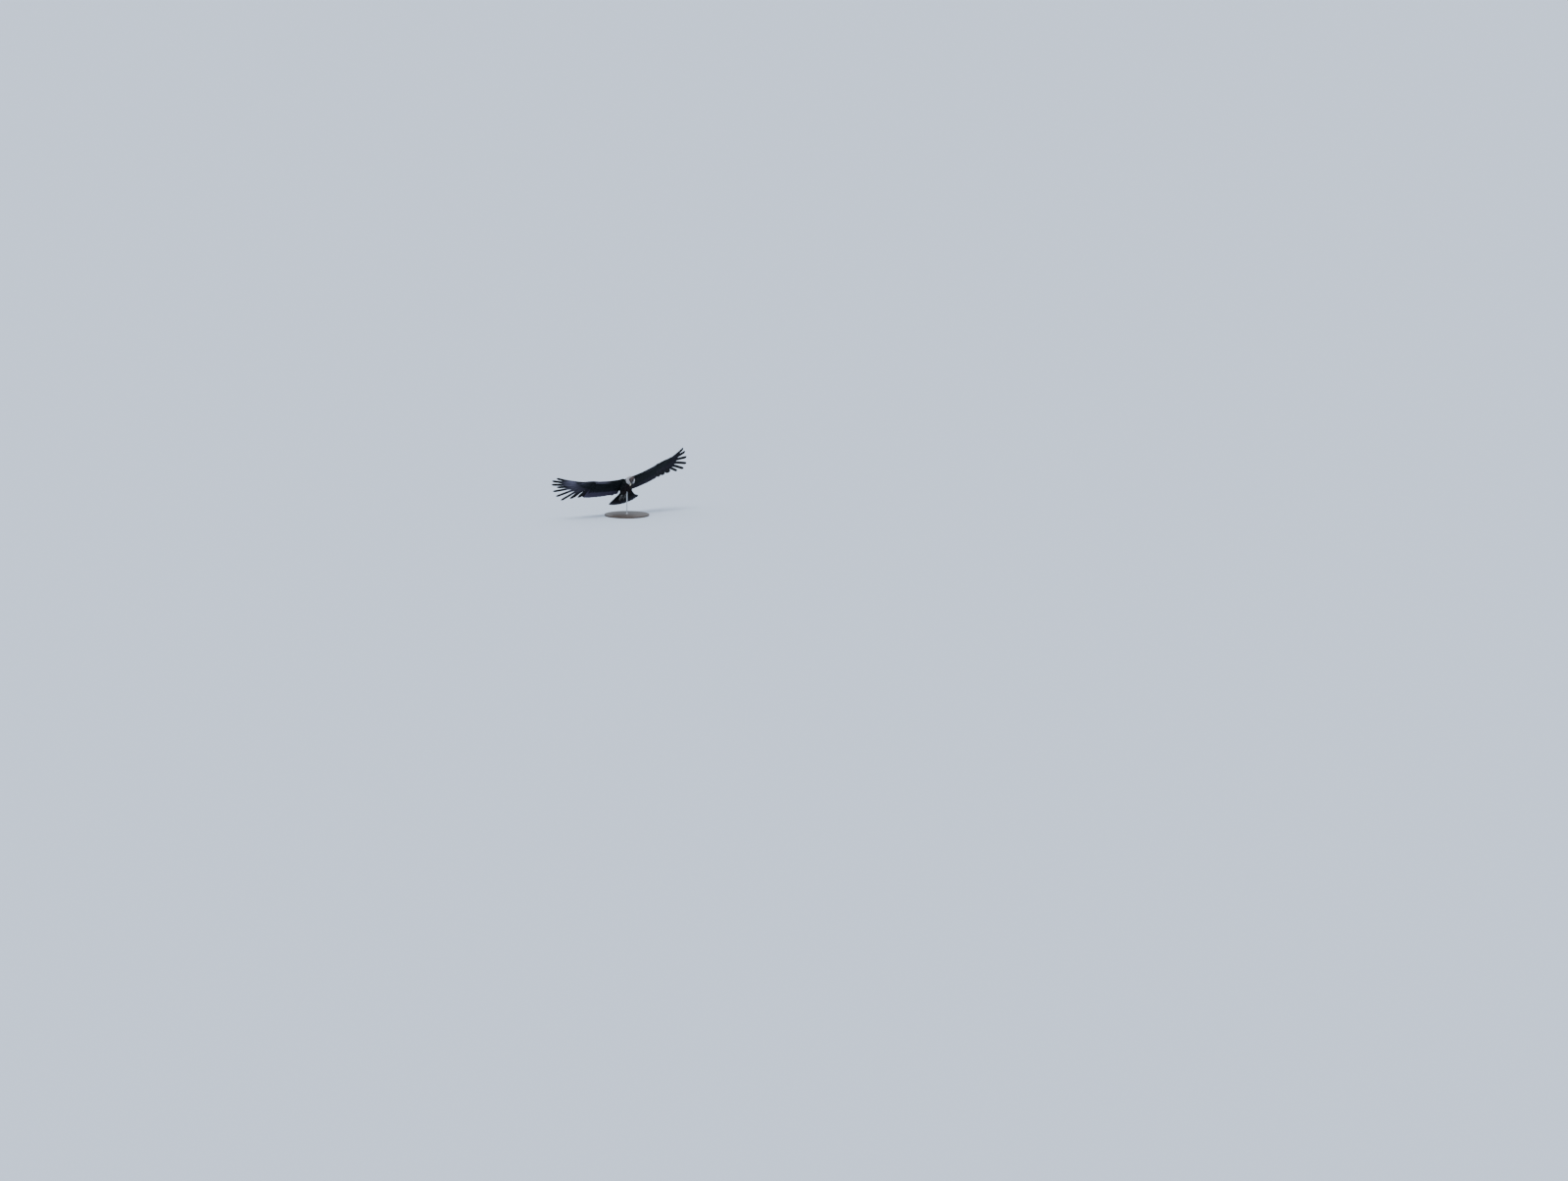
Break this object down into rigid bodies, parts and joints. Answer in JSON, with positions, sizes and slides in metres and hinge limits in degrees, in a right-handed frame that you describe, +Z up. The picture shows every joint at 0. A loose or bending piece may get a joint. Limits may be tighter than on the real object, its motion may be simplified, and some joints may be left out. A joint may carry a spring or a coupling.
{
  "type": "andean condor model on a display stand",
  "caption": "Life-size soaring condor with spread, fingered wings, fanned tail, pale neck ruff and bare combed head, held by a round stand with a rod.",
  "frame": {"origin": "centre of the stand base's underside, on the floor", "axes": "+X to the side on which the bird's left wing points, +Y away from the side that shows the bird's underside, +Z up"},
  "size_m": [2.371, 1.5881, 1.0951],
  "materials": {
    "plumage": "black feathers with a faint blue-green sheen, greyer on the flight feathers",
    "ruff_down": "soft white down",
    "bare_skin": "wrinkled bare skin, dark reddish grey",
    "horn": "smooth horn, dark at the base and ivory at the tip",
    "eye": "wet, brown iris with a black pupil",
    "foot_scales": "matt scales, dark grey, with darker claws",
    "stand_wood": "dark satin stained wood",
    "stand_steel": "satin steel"
  },
  "bodies": {
    "root": {"torso": "plumage", "neck": "bare_skin", "ruff": "ruff_down", "head": "bare_skin", "bill_upper": "horn", "bill_lower": "horn", "eye_left": "eye", "eye_right": "eye", "tail": "plumage", "wing_arm_left": "plumage", "wing_arm_right": "plumage", "wing_hand_left": "plumage", "wing_hand_right": "plumage", "leg_left": "foot_scales", "leg_right": "foot_scales", "foot_left": "foot_scales", "foot_right": "foot_scales", "stand_base": "stand_wood", "stand_rod": "stand_steel"}
  },
  "joints": []
}
